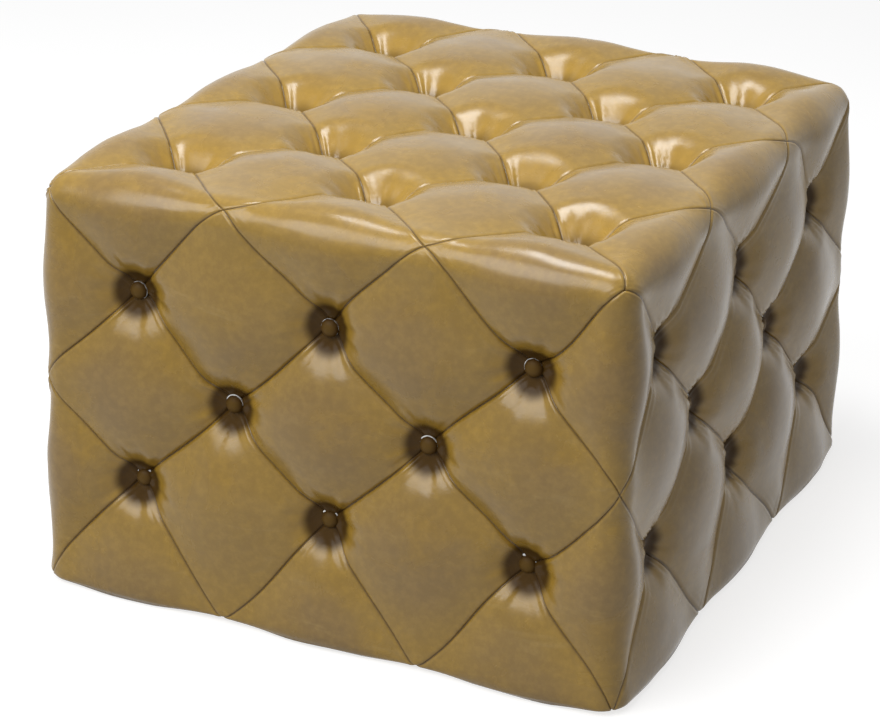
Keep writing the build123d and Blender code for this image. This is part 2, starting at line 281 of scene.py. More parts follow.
def neighbours(i, j, k):
    """The four crossings round a crown, in order round it, one of them below the base on a half."""
    along_x = [(i - 1, j, k), (i + 1, j, k)]
    along_y = [(i, j - 1, k), (i, j + 1, k)]
    along_z = [(i, j, k - 1), (i, j, k + 1)]
    on_side_x = i in (0, cells_x)
    on_side_y = j in (0, cells_y)
    inward_x = (i + (1 if i == 0 else -1), j, k)
    inward_y = (i, j + (1 if j == 0 else -1), k)
    if on_side_x and on_side_y:
        return [along_z[0], inward_x, along_z[1], inward_y]
    if k == 0 and on_side_y:
        return [along_x[0], inward_y, along_x[1], along_z[1]]
    if k == 0 and on_side_x:
        return [along_y[0], inward_x, along_y[1], along_z[1]]
    if k == 0:
        return [along_x[0], along_y[0], along_x[1], along_y[1]]
    if on_side_y:
        return [along_x[0], along_z[0], along_x[1], along_z[1]]
    return [along_y[0], along_z[0], along_y[1], along_z[1]]


def crossing_levels(i, j, k):
    """Pleat depth at a crossing, extra depth of its well or dimple, and a well's reach or 0."""
    if is_button(i, j, k) and k == 0:
        return top_pleat, top_well - top_pleat, top_reach
    if is_button(i, j, k):
        return side_pleat, side_well - side_pleat, side_reach
    if len(faces_of(i, j, k)) == 3:
        return edge_pleat, corner_knot - edge_pleat, 0
    if k >= cells_z:
        return edge_pleat, base_knot - edge_pleat, 0
    return edge_pleat, edge_knot - edge_pleat, 0


def pleat_shift(start, end, share):
    """How far a pleat wanders sideways from its straight line, at a share of its length."""
    if tuple(end) < tuple(start):
        start, end, share = end, start, 1 - share
    face = Vector((0, 0, 1))
    for axis, half in ((0, half_width), (1, half_depth)):
        if max(abs(start[axis] - end[axis]), abs(abs(start[axis]) - half)) < plane_distance:
            face = Vector((0, 0, 0))
            face[axis] = 1
    middle = (start + end) / 2
    bow = chance(middle, bow_grain, bow_seed)
    swing = chance(middle, swing_grain, swing_seed)
    size = bow * math.sin(math.pi * share) + swing * math.sin(2 * math.pi * share)
    return face.cross((end - start).normalized()) * size * pleat_wander


def dip(aside, reach, widening):
    """A well's or a dimple's share of its full depth, at a place aside from its middle."""
    distance = max(0, aside.length - widening)
    if not reach:
        return math.exp(-(distance / knot_reach) ** knot_power)
    distance = max(0, distance - well_lean * (aside.y - aside.z))
    beyond = min(1, max(0, distance - seat_radius) / reach)
    return max((1 - beyond) ** well_power, (1 + math.cos(math.pi * beyond)) / 2)


def rounded_place(point, radius):
    """The sharp box's point brought onto the rounded box, and the outward direction there."""
    core = Vector((
        clamp(point.x, half_width - radius),
        clamp(point.y, half_depth - radius),
        min(point.z, top_z - radius),
    ))
    outward = (point - core).normalized()
    place = core + outward * radius
    fall = max(0, top_z - place.z) / skin_height
    spread = base_flare * fall ** flare_power - top_draw * (1 - fall) ** 2
    place.x += spread * place.x / half_width
    place.y += spread * place.y / half_depth
    cornering = (point.x / half_width) ** 2 * (point.y / half_depth) ** 2
    place.z += top_dome * max(0, 1 - cornering) * max(0, 1 - fall) ** 2
    roll_start = skin_foot + roll_radius
    if point.z < roll_start:
        angle = min((roll_start - point.z) / roll_radius, math.pi / 2)
        outward = Vector((outward.x, outward.y, 0)).normalized()
        place = place - outward * roll_radius * (1 - math.cos(angle))
        place.z = roll_start - roll_radius * math.sin(angle)
        outward = outward * math.cos(angle) - Vector((0, 0, 1)) * math.sin(angle)
    return place, outward


class Diamond:
    """One pillow of leather between four crossings, some of it folded over an edge of the box."""

    def __init__(self, crown):
        self.crown = lattice(*crown)
        self.half = crown[2] == cells_z
        grid = neighbours(*crown)
        self.corners = [lattice(*p) for p in grid]
        self.arms = [c - self.crown for c in self.corners]
        self.levels = [crossing_levels(*p) for p in grid]
        self.folded = len(faces_of(*crown)) > 1
        folded_rise = top_edge_rise if crown[2] == 0 else upright_edge_rise
        self.rise = folded_rise if self.folded else crown_rise
        self.upper = [self.is_upper(n) for n in range(4)]

    def is_upper(self, side):
        """Whether this pillow lies over its neighbour at one of its four pleats."""
        middle = (self.corners[side] + self.corners[(side + 1) % 4]) / 2
        toward = self.crown - middle
        return toward.z + overlap_back_share * toward.y + overlap_right_share * toward.x > 0

    def flat_point(self, u, v):
        """A point of the sharp box, for shares u and v across the diamond."""
        a = u + v - 1
        b = v - u
        along = self.arms[2] * a if a > 0 else self.arms[0] * -a
        across = self.arms[3] * b if b > 0 else self.arms[1] * -b
        return self.crown + along + across

    def wandering(self, u, v):
        """The sideways shift that the four pleats give to a point between them."""
        c = self.corners
        return (
            pleat_shift(c[0], c[1], u) * (1 - v) ** 2
            + pleat_shift(c[1], c[2], v) * u ** 2
            + pleat_shift(c[3], c[2], u) * v ** 2
            + pleat_shift(c[0], c[3], v) * (1 - u) ** 2
        )

    def fullness(self, u, v):
        """How full the pillow is at a point: nothing at its pleats, one at its crown."""
        rise_u = 1 - (1 - 2 * min(u, 1 - u)) ** pillow_power
        rise_v = 1 - (1 - 2 * min(v, 1 - v)) ** pillow_power
        return rise_u * rise_v

    def pillow(self, u, v):
        """Depth of the plain pillow: deepest along its pleats, nothing at its crown."""
        weights = ((1 - u) * (1 - v), u * (1 - v), u * v, (1 - u) * v)
        level = sum(w * entry[0] for w, entry in zip(weights, self.levels))
        full = self.fullness(u, v)
        return level * (1 - full) - self.rise * full

    def lips(self, u, v):
        """The thin raised fold beside each pleat, and a second one near the buttons."""
        sides = ((v, u), (1 - u, v), (1 - v, u), (u, v))
        total = 0
        for side, (across, share) in enumerate(sides):
            distance = across * pleat_length
            if distance > lip_limit:
                continue
            start, end = self.corners[side], self.corners[(side + 1) % 4]
            patchy = lip_share + lip_patch_share * chance(start.lerp(end, share), lip_grain, lip_seed)
            ends = 1 - math.exp(-min(share, 1 - share) * pleat_length / lip_offset)
            size = patchy * (upper_lip_share if self.upper[side] else 1)
            near_well = 0
            for number, along in ((side, share), ((side + 1) % 4, 1 - share)):
                if self.levels[number][2]:
                    near_well += math.exp(-along * pleat_length / tongue_reach)
            first = math.exp(-((distance - lip_offset) / lip_width) ** 2)
            second = math.exp(-((distance - second_lip_offset) / lip_width) ** 2)
            folds = (plain_lip_share + near_well) * first + second_lip_share * near_well * second
            total += size * ends * folds
        return total * lip_height

    def tongue_folds(self, u, v):
        """The short crease down the middle of a tongue of leather that runs into a button."""
        total = 0
        corners = ((u, v), (1 - u, v), (1 - u, 1 - v), (u, 1 - v))
        for number, (s, t) in enumerate(corners):
            if not self.levels[number][2]:
                continue
            luck = chance(self.corners[number] + self.crown, tongue_grain, tongue_seed)
            reach = (s + t) * pleat_length / 2
            if reach > tongue_limit:
                continue
            aside = (s - t * (1 + luck)) * pleat_length / 2
            band = math.exp(-(aside / lip_width) ** 2)
            band *= math.exp(-((reach - tongue_middle) / tongue_spread) ** 2)
            total += max(0, luck + tongue_luck) * tongue_growth * band
        return total * tongue_fold

    def plain_depth(self, flat, u, v, inset):
        """Depth of the pillow, its wells and its pleats; an inner layer's wells are wider by its inset."""
        total = self.pillow(u, v)
        for corner, (_, extra, reach) in zip(self.corners, self.levels):
            total += extra * dip(flat - corner, reach, layer_widening * inset)
        nearest = min(u, 1 - u, v, 1 - v) * pleat_length
        return total + groove_depth * math.exp(-nearest / (groove_width + inset))

    def wrinkles(self, flat):
        """The fine folds that run out of each well like rays."""
        total = 0
        for corner, (_, _, reach) in zip(self.corners, self.levels):
            aside = flat - corner
            if not reach or aside.length > wrinkle_limit:
                continue
            turn = math.atan2(aside.z + aside.y, aside.x + wrinkle_slant * aside.y)
            coarse = math.sin(turn * coarse_wrinkles + corner.x * coarse_wrinkle_turn)
            fine = math.sin(turn * fine_wrinkles + corner.y * fine_wrinkle_turn)
            folds = coarse + fine_wrinkle_share * fine
            total += folds * math.exp(-((aside.length - wrinkle_ring) / wrinkle_spread) ** 2)
        return total * wrinkle_height

    def sunk(self, flat):
        """How far down in a well a point is, which sets its painted shade: one at its button on the sides,
        less on the top, which faces the light.
        """
        shares = [0]
        for corner, (_, _, reach) in zip(self.corners, self.levels):
            if reach:
                tone = top_well_shade if reach == top_reach else 1
                shares.append(tone * dip(flat - corner, reach, 0))
        return max(shares)

    def drift(self, flat):
        """Slow unevenness of the filling."""
        place = flat / unevenness_size
        small = chance(place, small_unevenness_grain)
        return unevenness * (chance(place, 1) + small_unevenness_share * small)

    def place(self, u, v, inset, detail):
        """Where a point of the skin lies, and how far down in a well it is."""
        flat = self.flat_point(u, v)
        radius = edge_radius
        if self.folded:
            radius += (crown_radius - edge_radius) * self.fullness(u, v)
        base, outward = rounded_place(flat + self.wandering(u, v), radius)
        below = self.plain_depth(flat, u, v, inset)
        if detail:
            below += self.wrinkles(flat) + self.tongue_folds(u, v) - self.lips(u, v) - self.drift(flat)
        spot = base - outward * (below + inset)
        spot.z = max(spot.z, skin_foot + inset)
        return spot, self.sunk(flat)


def crowded(share):
    """Shares across a diamond, set closer together near its pleats."""
    return share - crowding_share * math.sin(2 * math.pi * share) / (2 * math.pi)


def tufted_skin(steps, inset, detail):
    """The buttoned skin over the top and sides, open underneath, as a bmesh with its outer side out."""
    bm = bmesh.new()
    well = bm.verts.layers.float.new("well")
    crease = bm.verts.layers.float.new("crease")
    crown_share = bm.verts.layers.float.new("crown")
    for crown in surface_points(1):
        diamond = Diamond(crown)
        grid = bmesh.ops.create_grid(bm, x_segments=steps, y_segments=steps, size=0.5)["verts"]
        if diamond.half:
            geometry = list(grid)
            geometry += {e for vert in grid for e in vert.link_edges}
            geometry += {f for vert in grid for f in vert.link_faces}
            cut = bmesh.ops.bisect_plane(
                bm, geom=geometry, plane_co=(0, 0, 0), plane_no=(-1, 1, 0), clear_outer=True
            )
            kept = set(cut["geom"] + cut["geom_cut"])
            grid = {g for g in kept if isinstance(g, bmesh.types.BMVert) and g.is_valid}
        for vert in grid:
            u = crowded(vert.co.x + 0.5)
            v = crowded(vert.co.y + 0.5)
            vert.co, vert[well] = diamond.place(u, v, inset, detail)
            vert[crown_share] = diamond.fullness(u, v)
            nearest = min(u, 1 - u, v, 1 - v) * pleat_length
            vert[crease] = math.exp(-nearest / crease_reach)
    bmesh.ops.remove_doubles(bm, verts=bm.verts, dist=merge_distance)
    bmesh.ops.recalc_face_normals(bm, faces=bm.faces)
    return bm


def turn_under(bm, reach):
    """Carries the skin's open edge round under the base and in to the hem, row by row."""
    well = bm.verts.layers.float["well"]
    crease = bm.verts.layers.float["crease"]
    last = roll_radius - base_flare
    for share in hem_row_shares:
        row = share * reach
        shrink_x = (half_width - row) / (half_width - last)
        shrink_y = (half_depth - row) / (half_depth - last)
        flatness = min(1, row / hem_flat_from)
        rim = [e for e in bm.edges if e.is_boundary]
        moved = bmesh.ops.extrude_edge_only(bm, edges=rim)["geom"]
        for vert in moved:
            if not isinstance(vert, bmesh.types.BMVert):
                continue
            place = vert.co
            gather = hem_gather * abs(chance(Vector((place.x, place.y, 0)), gather_grain, gather_seed))
            tuck = hem_tuck * vert[crease] * (1 - flatness)
            height = skin_foot + hem_lift + flatness * (base_drop + gather) + tuck
            vert.co = Vector((place.x * shrink_x, place.y * shrink_y, height))
            vert[well] = hem_tone
        last = row
    bmesh.ops.recalc_face_normals(bm, faces=bm.faces)


def meshed(bm, name, material):
    """A new object at the origin, with a bmesh's form and one material."""
    mesh = bpy.data.meshes.new(name)
    bm.to_mesh(mesh)
    bm.free()
    mesh.materials.append(material)
    piece = bpy.data.objects.new(name, mesh)
    bpy.context.scene.collection.objects.link(piece)
    return piece


def finished(bm, name, material):
    """A new smooth piece from a bmesh, on the stool's body."""
    piece = meshed(bm, name, material)
    for polygon in piece.data.polygons:
        polygon.use_smooth = True
    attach(piece, "root")
    return piece


def thicken(piece, thickness):
    """Gives a skin its thickness on its inner side."""
    wall = piece.modifiers.new("thickness", "SOLIDIFY")
    wall.thickness = thickness
    wall.offset = -1
    wall.use_even_offset = False


# Materials

def new_material(name):
    """A procedural material and its main shader."""
    material = bpy.data.materials.new(name)
    material.use_nodes = True
    shader = next(n for n in material.node_tree.nodes if n.type == "BSDF_PRINCIPLED")
    return material, shader


def add_node(owner, kind, **settings):
    """A new shader node in a material or a world."""
    node = owner.node_tree.nodes.new(kind)
    for key, value in settings.items():
        setattr(node, key, value)
    return node


def join(owner, source, target):
    owner.node_tree.links.new(source, target)


def object_coordinates(material, scale=(1, 1, 1), turn=(0, 0, 0)):
    """Places on the piece in metres, stretched by a scale and turned."""
    coordinates = add_node(material, "ShaderNodeTexCoord")
    mapping = add_node(material, "ShaderNodeMapping")
    mapping.inputs["Scale"].default_value = scale
    mapping.inputs["Rotation"].default_value = turn
    join(material, coordinates.outputs["Object"], mapping.inputs["Vector"])
    return mapping.outputs["Vector"]


def attribute(material, name):
    """A value that the piece's mesh stores at each point."""
    node = add_node(material, "ShaderNodeAttribute", attribute_name=name)
    return node.outputs["Fac"]


def noise_texture(material, where, scale, detail=4, roughness=0.55, distortion=0):
    """Cloudy values from 0 to 1."""
    texture = add_node(material, "ShaderNodeTexNoise")
    texture.inputs["Scale"].default_value = scale
    texture.inputs["Detail"].default_value = detail
    texture.inputs["Roughness"].default_value = roughness
    texture.inputs["Distortion"].default_value = distortion
    join(material, where, texture.inputs["Vector"])
    return texture.outputs["Fac"]


def cell_texture(material, where, scale, randomness=1):
    """Distance from the middles of small cells."""
    texture = add_node(material, "ShaderNodeTexVoronoi", feature="F1")
    texture.inputs["Scale"].default_value = scale
    texture.inputs["Randomness"].default_value = randomness
    join(material, where, texture.inputs["Vector"])
    return texture.outputs["Distance"]


def ramp(material, source, stops):
    """Colours laid along a source's values; each stop has a position and a colour."""
    node = add_node(material, "ShaderNodeValToRGB")
    elements = node.color_ramp.elements
    while len(elements) < len(stops):
        elements.new(0.5)
    for element, (position, colour) in zip(elements, stops):
        element.position = position
        element.color = (*colour, 1)
    join(material, source, node.inputs["Fac"])
    return node.outputs["Color"]


def remap(material, source, span, levels):
    """A source's span of values, carried smoothly to two new levels."""
    node = add_node(material, "ShaderNodeMapRange", interpolation_type="SMOOTHSTEP")
    sockets = ("From Min", "From Max", "To Min", "To Max")
    for socket, value in zip(sockets, (*span, *levels)):
        node.inputs[socket].default_value = value
    join(material, source, node.inputs["Value"])
    return node.outputs["Result"]


def blend(material, amount, under, over):
    """One colour laid over another by an amount."""
    node = add_node(material, "ShaderNodeMix", data_type="RGBA")
    join(material, amount, node.inputs["Factor"])
    for value, socket in ((under, node.inputs[6]), (over, node.inputs[7])):
        if isinstance(value, tuple):
            socket.default_value = (*value, 1)
        else:
            join(material, value, socket)
    return node.outputs[2]


def arithmetic(owner, operation, first, second):
    """Two values combined, kept from 0 to 1."""
    node = add_node(owner, "ShaderNodeMath", operation=operation, use_clamp=True)
    join(owner, first, node.inputs[0])
    join(owner, second, node.inputs[1])
    return node.outputs[0]


def bump(material, shader, height, strength, distance, under=None):
    """Fine relief on a shader, laid over an earlier relief if there is one."""
    node = add_node(material, "ShaderNodeBump")
    node.inputs["Strength"].default_value = strength
    node.inputs["Distance"].default_value = distance
    join(material, height, node.inputs["Height"])
    if under is not None:
        join(material, under, node.inputs["Normal"])
    join(material, node.outputs["Normal"], shader.inputs["Normal"])
    return node.outputs["Normal"]


def patinated_leather(name, darker=0.0, shine=0.45, roughness=(0.20, 0.30)):
    """Waxed olive-tan leather: rubbed crowns and ochre slopes, with painted shade darkening its pleats and
    wells.
    """
    khaki = (0.370, 0.225, 0.036)
    rubbed_brown = (0.298, 0.184, 0.050)
    ochre = (0.390, 0.226, 0.018)
    pale = (0.440, 0.300, 0.100)
    # Umber colours the real dark flecks, and also the painted shade in the wells, along the pleats and on
    # the buttons
    umber = (0.052, 0.025, 0.006)
    material, shader = new_material(name)
    where = object_coordinates(material)
    clouds = noise_texture(material, where, scale=6, detail=3, roughness=0.5, distortion=0.5)
    patches = noise_texture(material, where, scale=15, detail=5, roughness=0.6, distortion=0.4)
    along = object_coordinates(material, scale=(9, 9, 34), turn=(0.3, 0.5, 0.2))
    streaks = noise_texture(material, along, scale=1.4, detail=6, roughness=0.65, distortion=0.8)
    flecks = noise_texture(material, where, scale=130, detail=4, roughness=0.65)
    well = attribute(material, "well")
    crease = attribute(material, "crease")
    crown = remap(material, attribute(material, "crown"), span=(0.15, 0.85), levels=(0.10, 1))
    wear = remap(material, clouds, span=(0.32, 0.62), levels=(0.35, 1))
    colour = blend(material, arithmetic(material, "MULTIPLY", crown, wear), khaki, rubbed_brown)
    # Each coat has what it follows, the span of that, how much of it shows there, and its colour
    coats = (
        (patches, (0.48, 0.70), (0, 0.40), ochre),
        (streaks, (0.55, 0.80), (0, 0.50), pale),
        (flecks, (0.35, 0.75), (0.22, 0), umber),
        (well, (0.02, 0.35), (0, 0.45), ochre),
        # Painted shade: umber laid deep in the wells
        (well, (0.38, 0.80), (darker, 0.94), umber),
        # Painted shade: umber laid along the pleats, and round the buttons' rims
        (crease, (0.15, 1.0), (0, 0.80), umber),
    )
    for source, span, levels, coat in coats:
        colour = blend(material, remap(material, source, span, levels), colour, coat)
    join(material, colour, shader.inputs["Base Color"])
    polish = remap(material, patches, span=(0.3, 0.7), levels=roughness)
    join(material, polish, shader.inputs["Roughness"])
    gloss = remap(material, well, span=(0.40, 0.80), levels=(shine, 0.10))
    join(material, gloss, shader.inputs["Specular IOR Level"])
    pores = cell_texture(material, where, scale=620)
    grain = bump(material, shader, pores, strength=0.05, distance=0.0004)
    creasing = noise_texture(material, along, scale=2.6, detail=4, roughness=0.55, distortion=0.4)
    bump(material, shader, creasing, strength=0.10, distance=0.0018, under=grain)
    return material


def open_foam():
    """Pale upholstery foam with small open cells."""
    cream = (0.80, 0.74, 0.50)
    pale_cream = (0.88, 0.84, 0.66)
    cell_shadow = (0.62, 0.54, 0.34)
    material, shader = new_material("open_cell_foam")
    where = object_coordinates(material)
    tone = noise_texture(material, where, scale=9, detail=3)
    colour = ramp(material, tone, ((0.3, cream), (0.7, pale_cream)))
    cells = cell_texture(material, where, scale=480)
    shadow = remap(material, cells, span=(0.0, 0.5), levels=(0.35, 0))
    colour = blend(material, shadow, colour, cell_shadow)
    join(material, colour, shader.inputs["Base Color"])
    shader.inputs["Roughness"].default_value = 0.95
    bump(material, shader, cells, strength=0.5, distance=0.001)
    return material


def fibre_wadding():
    """White fibre wadding, felted in thin wisps."""
    grey_white = (0.70, 0.70, 0.67)
    white = (0.90, 0.90, 0.88)
    material, shader = new_material("fibre_wadding")
    along = object_coordinates(material, scale=(60, 60, 220))
    wisps = noise_texture(material, along, scale=1, detail=8, roughness=0.7, distortion=1.2)
    colour = ramp(material, wisps, ((0.3, grey_white), (0.7, white)))
    join(material, colour, shader.inputs["Base Color"])
    shader.inputs["Roughness"].default_value = 1.0
    shader.inputs["Sheen Weight"].default_value = 0.3
    bump(material, shader, wisps, strength=0.6, distance=0.0015)
    return material


def sawn_softwood():
    """Sawn pine with long growth rings and a few darker streaks."""
    late_wood = (0.56, 0.36, 0.19)
    early_wood = (0.76, 0.57, 0.34)
    dark_streak = (0.50, 0.31, 0.15)
    material, shader = new_material("sawn_softwood")
    where = object_coordinates(material, scale=(1.4, 1.4, 9))
    warp = noise_texture(material, where, scale=5, detail=5, roughness=0.6, distortion=1.5)
    rings = add_node(material, "ShaderNodeTexWave", wave_type="RINGS", rings_direction="X")
    rings.inputs["Scale"].default_value = 16
    rings.inputs["Distortion"].default_value = 6
    rings.inputs["Detail"].default_value = 3
    rings.inputs["Detail Scale"].default_value = 1.6
    join(material, where, rings.inputs["Vector"])
    colour = ramp(material, rings.outputs["Fac"], ((0.2, late_wood), (0.8, early_wood)))
    streaks = remap(material, warp, span=(0.45, 0.75), levels=(0, 0.5))
    colour = blend(material, streaks, colour, dark_streak)
    join(material, colour, shader.inputs["Base Color"])
    dullness = remap(material, warp, span=(0.2, 0.8), levels=(0.60, 0.82))
    join(material, dullness, shader.inputs["Roughness"])
    bump(material, shader, rings.outputs["Fac"], strength=0.25, distance=0.0006)
    return material


def birch_plywood():
    """Pale plywood with a fine, flame-like face grain."""
    deep_grain = (0.62, 0.45, 0.27)
    birch = (0.76, 0.60, 0.40)
    pale_birch = (0.82, 0.69, 0.49)
    dark_pore = (0.40, 0.26, 0.14)
    material, shader = new_material("birch_plywood")
    along = object_coordinates(material, scale=(3, 22, 22))
    grain = noise_texture(material, along, scale=4, detail=8, roughness=0.65, distortion=0.9)
    colour = ramp(material, grain, ((0.25, deep_grain), (0.55, birch), (0.8, pale_birch)))
    close_along = object_coordinates(material, scale=(12, 260, 260))
    pores = noise_texture(material, close_along, scale=3, detail=3)
    pitting = remap(material, pores, span=(0.62, 0.75), levels=(0, 0.4))
    colour = blend(material, pitting, colour, dark_pore)
    join(material, colour, shader.inputs["Base Color"])
    dullness = remap(material, grain, span=(0.2, 0.8), levels=(0.55, 0.75))
    join(material, dullness, shader.inputs["Roughness"])
    bump(material, shader, grain, strength=0.2, distance=0.0005)
    return material


def plated_steel():
    """Dull zinc-plated steel wire and screws."""
    dull_zinc = (0.46, 0.47, 0.48)
    bright_zinc = (0.66, 0.66, 0.65)
    material, shader = new_material("zinc_plated_steel")
    bloom = noise_texture(material, object_coordinates(material), scale=160, detail=5, roughness=0.6)
    colour = ramp(material, bloom, ((0.3, dull_zinc), (0.7, bright_zinc)))
    join(material, colour, shader.inputs["Base Color"])
    shader.inputs["Metallic"].default_value = 1.0
    dullness = remap(material, bloom, span=(0.3, 0.7), levels=(0.30, 0.48))
    join(material, dullness, shader.inputs["Roughness"])
    bump(material, shader, bloom, strength=0.1, distance=0.0002)
    return material


def waxed_twine():
    """Waxed natural twine with a close twist."""
    shaded_flax = (0.50, 0.43, 0.30)
    flax = (0.80, 0.74, 0.60)
    material, shader = new_material("waxed_twine")
    twist = add_node(material, "ShaderNodeTexWave", wave_type="BANDS", bands_direction="DIAGONAL")
    twist.inputs["Scale"].default_value = 420
    twist.inputs["Distortion"].default_value = 1.5
    join(material, object_coordinates(material), twist.inputs["Vector"])
    colour = ramp(material, twist.outputs["Fac"], ((0.2, shaded_flax), (0.8, flax)))
    join(material, colour, shader.inputs["Base Color"])
    shader.inputs["Roughness"].default_value = 0.7
    bump(material, shader, twist.outputs["Fac"], strength=0.5, distance=0.0004)
    return material


def spunbond_lining():
    """Black spunbond lining with its pressed dots."""
    black = (0.018, 0.018, 0.020)
    grey_black = (0.055, 0.055, 0.060)
    pressed_black = (0.012, 0.012, 0.013)
    material, shader = new_material("spunbond_lining")
    where = object_coordinates(material)
    dots = cell_texture(material, where, scale=380, randomness=0.15)
    fibres = noise_texture(material, where, scale=260, detail=6, roughness=0.7, distortion=1)
    colour = ramp(material, fibres, ((0.3, black), (0.7, grey_black)))
    pressed = remap(material, dots, span=(0.1, 0.3), levels=(0.5, 0))
    colour = blend(material, pressed, colour, pressed_black)
    join(material, colour, shader.inputs["Base Color"])
    shader.inputs["Roughness"].default_value = 0.85
    bump(material, shader, dots, strength=0.4, distance=0.0005)
    return material


def moulded_glide():
    """Dark moulded plastic, scuffed a little lighter where it rubs."""
    dark_plastic = (0.028, 0.027, 0.026)
    scuffed_plastic = (0.085, 0.082, 0.078)
    material, shader = new_material("moulded_plastic")
    along = object_coordinates(material, scale=(40, 40, 260))
    scuffs = noise_texture(material, along, scale=2, detail=6, roughness=0.7)
    colour = ramp(material, scuffs, ((0.4, dark_plastic), (0.8, scuffed_plastic)))
    join(material, colour, shader.inputs["Base Color"])
    dullness = remap(material, scuffs, span=(0.3, 0.8), levels=(0.38, 0.62))
    join(material, dullness, shader.inputs["Roughness"])
    bump(material, shader, scuffs, strength=0.15, distance=0.0004)
    return material


# Pieces

def leather_cover(material):
    """The leather: one tufted skin with all its folds, turned under the base."""
    bm = tufted_skin(skin_steps, 0, True)
    turn_under(bm, hem_reach)
    piece = finished(bm, "tufted_leather_cover", material)
    thicken(piece, leather)
    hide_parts("leather_cover")


def wadding_layer(material):
    """The fibre wrap close under the leather, open underneath."""
    bm = tufted_skin(layer_steps, wadding_inset, False)
    piece = finished(bm, "wadding_layer", material)
    thicken(piece, wadding_thickness)
    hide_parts("wadding_wrap")


def keep_side(bm, point, outward):
    """Cuts a closed solid along a plane, drops what lies outward of it, and closes the cut."""
    geometry = list(bm.verts) + list(bm.edges) + list(bm.faces)
    cut = bmesh.ops.bisect_plane(
        bm, geom=geometry, dist=cut_distance, plane_co=point, plane_no=outward, clear_outer=True
    )
    rim = [g for g in cut["geom_cut"] if isinstance(g, bmesh.types.BMEdge)]
    bmesh.ops.edgenet_fill(bm, edges=rim)


def foam_pad(name, node, material):
    """One foam pad: the tufted form under the wadding, cut to the pad's own flat sides."""
    low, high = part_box(node)
    bm = tufted_skin(layer_steps, foam_inset, False)
    rim = [e for e in bm.edges if e.is_boundary]
    bmesh.ops.edgenet_fill(bm, edges=rim)
    for axis, reach in enumerate((half_width, half_depth, top_z)):
        for corner, sign in ((low, -1), (high, 1)):
            if abs(corner[axis]) < reach - pad_cut_margin:
                outward = Vector((0, 0, 0))
                outward[axis] = sign
                keep_side(bm, corner, outward)
    bmesh.ops.triangulate(bm, faces=[f for f in bm.faces if len(f.verts) > 4])
    bmesh.ops.recalc_face_normals(bm, faces=bm.faces)
    piece = finished(bm, name, material)
    piece.data.set_sharp_from_angle(angle=math.radians(pad_edge_angle))
    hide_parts(node)


def covered_buttons(face_name, face, material):
    """The leather-covered buttons of one face, each a dome with a gathered edge and painted shade: dark all
    over and darker at its rim.
    """
    bm = bmesh.new()
    well = bm.verts.layers.float.new("well")
    crease = bm.verts.layers.float.new("crease")
    depth = top_well if face_name == "top" else side_well
    around, upward = button_steps
    turn = face.to_track_quat("Z", "Y").to_matrix().to_4x4()
    for number, point in enumerate(button_places(face)):
        seat = lattice(*point) - face * depth
        fresh = bmesh.ops.create_uvsphere(bm, u_segments=around, v_segments=upward, radius=1)["verts"]
        for vert in fresh:
            x, y, z = vert.co
            ring = math.hypot(x, y)
            gathers = math.sin(math.atan2(y, x) * button_gathers + number)
            pucker = 1 + button_gather_share * gathers * ring ** button_gather_power
            height = button_crown * z if z > 0 else button_edge * z
            vert.co = Vector((x * button_radius * pucker, y * button_radius * pucker, height + button_edge))
            # Painted shade: darker toward the rim, and a dark band round its lower part
            vert[well] = button_shade + button_rim_shade * ring ** button_rim_power
            rim = max(0, ring - button_rim_share) / (1 - button_rim_share)
            vert[crease] = button_lower_rim_shade * rim if z < button_rim_top else 0
        tilt = Matrix.Rotation(button_tilt * chance(seat, button_tilt_grain), 4, "X")
        bmesh.ops.transform(bm, matrix=Matrix.Translation(seat) @ turn @ tilt, verts=fresh)
    piece = finished(bm, "covered_buttons_" + face_name, material)
    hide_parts("buttons_" + face_name)


def dust_cover(material):
    """The lining under the base: one stretched sheet that sags a little in the middle."""
    low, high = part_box("dust_cover")
    width = high.x - low.x
    length = high.y - low.y
    across, along = lining_steps
    bm = bmesh.new()
    bmesh.ops.create_grid(bm, x_segments=across, y_segments=along, size=0.5)
    for vert in bm.verts:
        x, y = vert.co.x, vert.co.y
        belly = math.cos(math.pi * x) * math.cos(math.pi * y)
        ripple = lining_ripple * chance(Vector((x, y, 0)), lining_ripple_grain) * belly
        vert.co = Vector((x * width, y * length, high.z - lining_sag * belly + ripple))
    piece = finished(bm, "dust_cover_sheet", material)
    thicken(piece, high.z - low.z)
    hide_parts("dust_cover")


def dress_frame(finishes):
    """Gives every CAD node that stays its own procedural finish, by the start of its name."""
    for name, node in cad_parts.items():
        for start, material in finishes:
            if name.startswith(start):
                for slot in node.material_slots:
                    slot.material = material
                break


# Stage, lamps and camera

